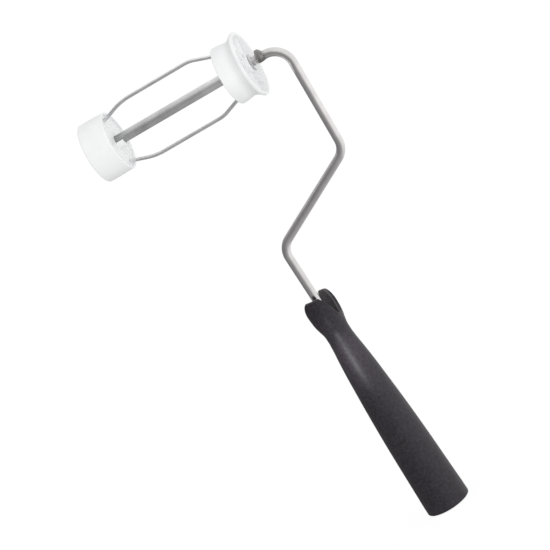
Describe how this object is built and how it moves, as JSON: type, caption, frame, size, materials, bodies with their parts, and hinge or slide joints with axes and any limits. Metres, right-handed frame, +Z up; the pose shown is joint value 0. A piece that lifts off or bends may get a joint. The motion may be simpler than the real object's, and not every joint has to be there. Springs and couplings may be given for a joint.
{
  "type": "mini paint roller frame",
  "caption": "Mini paint roller frame: bent chrome rod with a black grip, carrying a free-turning wire cage between white plastic end caps.",
  "frame": {"origin": "centre of the handle's butt face", "axes": "+Z up the handle's axis towards the cage; +X along the cage's axis from the free outboard end towards the rod; the bent rod lies in the XZ plane"},
  "size_m": [0.129, 0.0388, 0.2934],
  "materials": {
    "black_plastic": "moulded polypropylene, fine satin texture",
    "white_plastic": "translucent natural polyethylene, moulded",
    "chrome_rod": "bright zinc and chrome plated steel rod",
    "chrome_tube": "bright plated rolled steel tube",
    "spring_wire": "drawn and plated spring wire",
    "plated_steel": "pressed zinc plated steel"
  },
  "bodies": {
    "frame": {"handle": "black_plastic", "bent_rod": "chrome_rod", "inboard_washer": "plated_steel", "outboard_washer": "plated_steel", "axle_end_cap": "plated_steel"},
    "cage": {"inboard_end_cap": "white_plastic", "outboard_end_cap": "white_plastic", "cage_wire_upper": "spring_wire", "cage_wire_lower": "spring_wire", "spacer_tube": "chrome_tube"}
  },
  "joints": [
    {"name": "cage_spin", "type": "hinge", "parent": "frame", "child": "cage", "pos_m": [-0.008, 0, 0.274], "axis": [1, 0, 0], "continuous": true}
  ]
}
